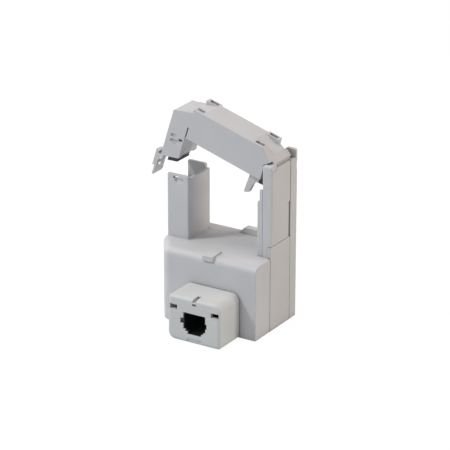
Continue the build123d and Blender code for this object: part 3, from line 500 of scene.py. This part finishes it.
def winding_tree(name):
    """One layer of turns: a ring of wire, copied along X."""
    tree = bpy.data.node_groups.new(name, "GeometryNodeTree")
    inputs = winding_inputs(tree)

    turn = add(tree, "GeometryNodeCurvePrimitiveQuadrilateral", Width=inputs["Width"],
               Height=inputs["Height"])
    rounded = add(tree, "GeometryNodeFilletCurve", {"mode": "POLY"}, Curve=turn.outputs["Curve"],
                  Count=CORNER_POINTS, Radius=inputs["Corner Radius"])
    wire = add(tree, "GeometryNodeCurvePrimitiveCircle", Resolution=WIRE_SIDES,
               Radius=inputs["Wire Radius"])
    ring = add(tree, "GeometryNodeCurveToMesh", Curve=rounded.outputs["Curve"],
               Profile_Curve=wire.outputs["Curve"])

    step = add(tree, "ShaderNodeCombineXYZ", X=inputs["Pitch"])
    row = add(tree, "GeometryNodeMeshLine", Count=inputs["Turns"], Start_Location=inputs["Start"],
              Offset=step.outputs["Vector"])
    copies = add(tree, "GeometryNodeInstanceOnPoints", Points=row.outputs["Mesh"],
                 Instance=ring.outputs["Mesh"], Rotation=(math.radians(90), 0.0, math.radians(90)))
    real = add(tree, "GeometryNodeRealizeInstances", Geometry=copies.outputs["Instances"])
    paint = add(tree, "GeometryNodeSetMaterial", Geometry=real.outputs["Geometry"],
                Material=inputs["Finish"])
    add(tree, "NodeGroupOutput", Geometry=paint.outputs["Geometry"])
    return tree


winding_layer = winding_tree("winding_layer")
print("tree:", winding_layer.name, "| nodes:", len(winding_layer.nodes))


# %% Bake a tree to a plain mesh
def bake(name, tree, values):
    """Runs a tree with the given inputs and keeps the result as a plain mesh object."""
    holder = bpy.data.objects.new(name + "_holder", bpy.data.meshes.new(name + "_holder"))
    bpy.context.scene.collection.objects.link(holder)
    modifier = holder.modifiers.new("tree", "NODES")
    modifier.node_group = tree
    for item in tree.interface.items_tree:
        if item.in_out == "INPUT" and item.name in values:
            modifier[item.identifier] = values[item.name]
    evaluated = holder.evaluated_get(bpy.context.evaluated_depsgraph_get())
    mesh = bpy.data.meshes.new_from_object(evaluated)
    mesh.name = name
    bpy.data.objects.remove(holder)
    piece = bpy.data.objects.new(name, mesh)
    bpy.context.scene.collection.objects.link(piece)
    return piece


wire_radius = 0.22 * MM
turn_corner = 3.6 * MM
loosest_pitch = 2.02 * wire_radius

low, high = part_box("secondary_winding")
length, width, height = (high[axis] - low[axis] for axis in range(3))
turns = int(length / loosest_pitch)
winding = bake("winding_turns", winding_layer, {
    "Turns": turns, "Wire Radius": wire_radius, "Pitch": (length - 2 * wire_radius) / (turns - 1),
    "Width": width - 2 * wire_radius, "Height": height - 2 * wire_radius, "Corner Radius": turn_corner,
    "Start": (low[0] + wire_radius, (low[1] + high[1]) / 2, (low[2] + high[2]) / 2),
    "Finish": enamelled_copper,
})
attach(winding, "base")
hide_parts("secondary_winding")
print("turns:", turns, "| faces:", len(winding.data.polygons))

# %% [markdown]
# ## Floor
#
# The transformer stands on white, with only a faint shadow near its foot. A white diffuse floor would need
# so much light that the pale plastic clips. So the floor is lit at the plain level, and where the camera,
# a reflection or a clear surface looks at it, most of it glows white. The rest is still lit, which keeps
# the shadow.

# %% Floor
FLOOR_HALF = 3.0
FLOOR_GAP = 0.05 * MM
FLOOR_GREY = (0.70, 0.71, 0.73, 1.0)
FLOOR_GLOW = 1.12
GLOW_SHARE = 0.82
WHITE = (1.0, 1.0, 1.0, 1.0)


def seen_ray(tree):
    """Is 1 for rays from the camera, off shiny surfaces and through clear ones, and 0 for other rays."""
    ray = add(tree, "ShaderNodeLightPath").outputs
    direct = calculate(tree, "MAXIMUM", ray["Is Camera Ray"], ray["Is Glossy Ray"])
    return calculate(tree, "MAXIMUM", direct, ray["Is Transmission Ray"])


def white_floor(name):
    """A lit floor that mostly glows where the camera or a reflection sees it."""
    material = bpy.data.materials.new(name)
    material.use_nodes = True
    tree = material.node_tree
    tree.nodes.clear()
    lit = add(tree, "ShaderNodeBsdfDiffuse", Color=FLOOR_GREY)
    glow = add(tree, "ShaderNodeEmission", Color=WHITE, Strength=FLOOR_GLOW)
    mixed = add(tree, "ShaderNodeMixShader", Fac=calculate(tree, "MULTIPLY", seen_ray(tree), GLOW_SHARE))
    tree.links.new(lit.outputs["BSDF"], mixed.inputs[1])
    tree.links.new(glow.outputs["Emission"], mixed.inputs[2])
    add(tree, "ShaderNodeOutputMaterial", Surface=mixed.outputs["Shader"])
    return material


corners = [(-FLOOR_HALF, -FLOOR_HALF, 0), (FLOOR_HALF, -FLOOR_HALF, 0),
           (FLOOR_HALF, FLOOR_HALF, 0), (-FLOOR_HALF, FLOOR_HALF, 0)]
floor_mesh = bpy.data.meshes.new("floor")
floor_mesh.from_pydata(corners, [], [(0, 1, 2, 3)])
floor_mesh.materials.append(white_floor("white_floor"))
floor = bpy.data.objects.new("floor", floor_mesh)
floor.location.z = -FLOOR_GAP
bpy.context.scene.collection.objects.link(floor)
print("floor:", 2 * FLOOR_HALF, "m square")

# %% [markdown]
# ## Camera
#
# The photograph looks at the transformer from the right and a little above, and its upright edges hardly
# converge, as with a long lens from some way off. The direction could be guessed by eye, but the object's
# own edges give it: the camera was turned until they ran as they do in the photograph. A 200 mm lens at
# just under a metre gives the flat perspective, and a small shift puts the object in its place.

# %% Camera
PHOTO_WIDTH = 450
SHIFT_RIGHT = 14.51
SHIFT_UP = 14.60
azimuth = math.radians(32.12)
elevation = math.radians(22.04)
distance = 0.9542
target = Vector((-1.75, -13.45, 35.0)) * MM

away = Vector((math.sin(azimuth) * math.cos(elevation),
               -math.cos(azimuth) * math.cos(elevation),
               math.sin(elevation)))
camera_data = bpy.data.cameras.new("camera")
camera_data.sensor_width = 36.0
camera_data.lens = 200.0
camera_data.shift_x = SHIFT_RIGHT / PHOTO_WIDTH
camera_data.shift_y = SHIFT_UP / PHOTO_WIDTH
camera_data.clip_start = 0.05
camera_data.clip_end = 20.0
camera = bpy.data.objects.new("camera", camera_data)
camera.location = target + away * distance
camera.rotation_euler = away.to_track_quat("Z", "Y").to_euler()
bpy.context.scene.collection.objects.link(camera)
bpy.context.scene.camera = camera
print("camera at", tuple(round(v, 3) for v in camera.location))

# %% [markdown]
# ## Light
#
# In the photograph the shadows fall to the right of the posts and of the nib over the front, the tops are
# the brightest faces, and the right-hand faces are warm while the fronts are cool. One big lamp would give
# the shadows but not the colours. Five square lamps can each be placed for one of these signs: a small key
# lamp at the upper left, a wide one above, a warm one at the right and a little behind, and dim wide ones
# in front and at the left. The world adds a weak even fill and shows white in reflections.

# %% Lamps
LAMP_AIM = Vector((0, 0, 35)) * MM


def soft_lamp(name, place, size, power, colour):
    """A square lamp that points at the middle of the object."""
    data = bpy.data.lights.new(name, "AREA")
    data.shape = "SQUARE"
    data.size = size
    data.energy = power
    data.color = colour
    lamp = bpy.data.objects.new(name, data)
    lamp.location = place
    lamp.rotation_euler = (Vector(place) - LAMP_AIM).to_track_quat("Z", "Y").to_euler()
    bpy.context.scene.collection.objects.link(lamp)
    return lamp


lamps = [
    soft_lamp("key_lamp", (-0.62, -0.58, 0.92), size=0.16, power=6.2, colour=(0.96, 0.98, 1.0)),
    soft_lamp("top_lamp", (0.02, -0.04, 1.15), size=0.42, power=3.4, colour=(1.0, 0.92, 0.90)),
    soft_lamp("right_lamp", (1.08, 0.43, 0.44), size=0.38, power=5.2, colour=(1.0, 0.89, 0.77)),
    soft_lamp("front_lamp", (0.10, -1.20, 0.30), size=0.90, power=1.75, colour=(0.75, 0.88, 1.0)),
    soft_lamp("left_lamp", (-1.10, 0.05, 0.35), size=0.60, power=3.0, colour=(1.0, 0.97, 0.92)),
]
print("lamps:", ", ".join(lamp.name for lamp in lamps))


# %% World
def white_room(name, fill):
    """A weak even light that looks plain white to the camera and in reflections."""
    world = bpy.data.worlds.new(name)
    world.use_nodes = True
    tree = world.node_tree
    tree.nodes.clear()
    room = add(tree, "ShaderNodeBackground", Color=(0.97, 0.98, 1.0, 1.0), Strength=fill)
    white = add(tree, "ShaderNodeBackground", Color=WHITE, Strength=1.0)
    pick = add(tree, "ShaderNodeMixShader", Fac=seen_ray(tree))
    tree.links.new(room.outputs["Background"], pick.inputs[1])
    tree.links.new(white.outputs["Background"], pick.inputs[2])
    add(tree, "ShaderNodeOutputWorld", Surface=pick.outputs["Shader"])
    return world


bpy.context.scene.world = white_room("white_room", fill=0.22)
bpy.context.scene.view_settings.view_transform = "Standard"
print("world:", bpy.context.scene.world.name)
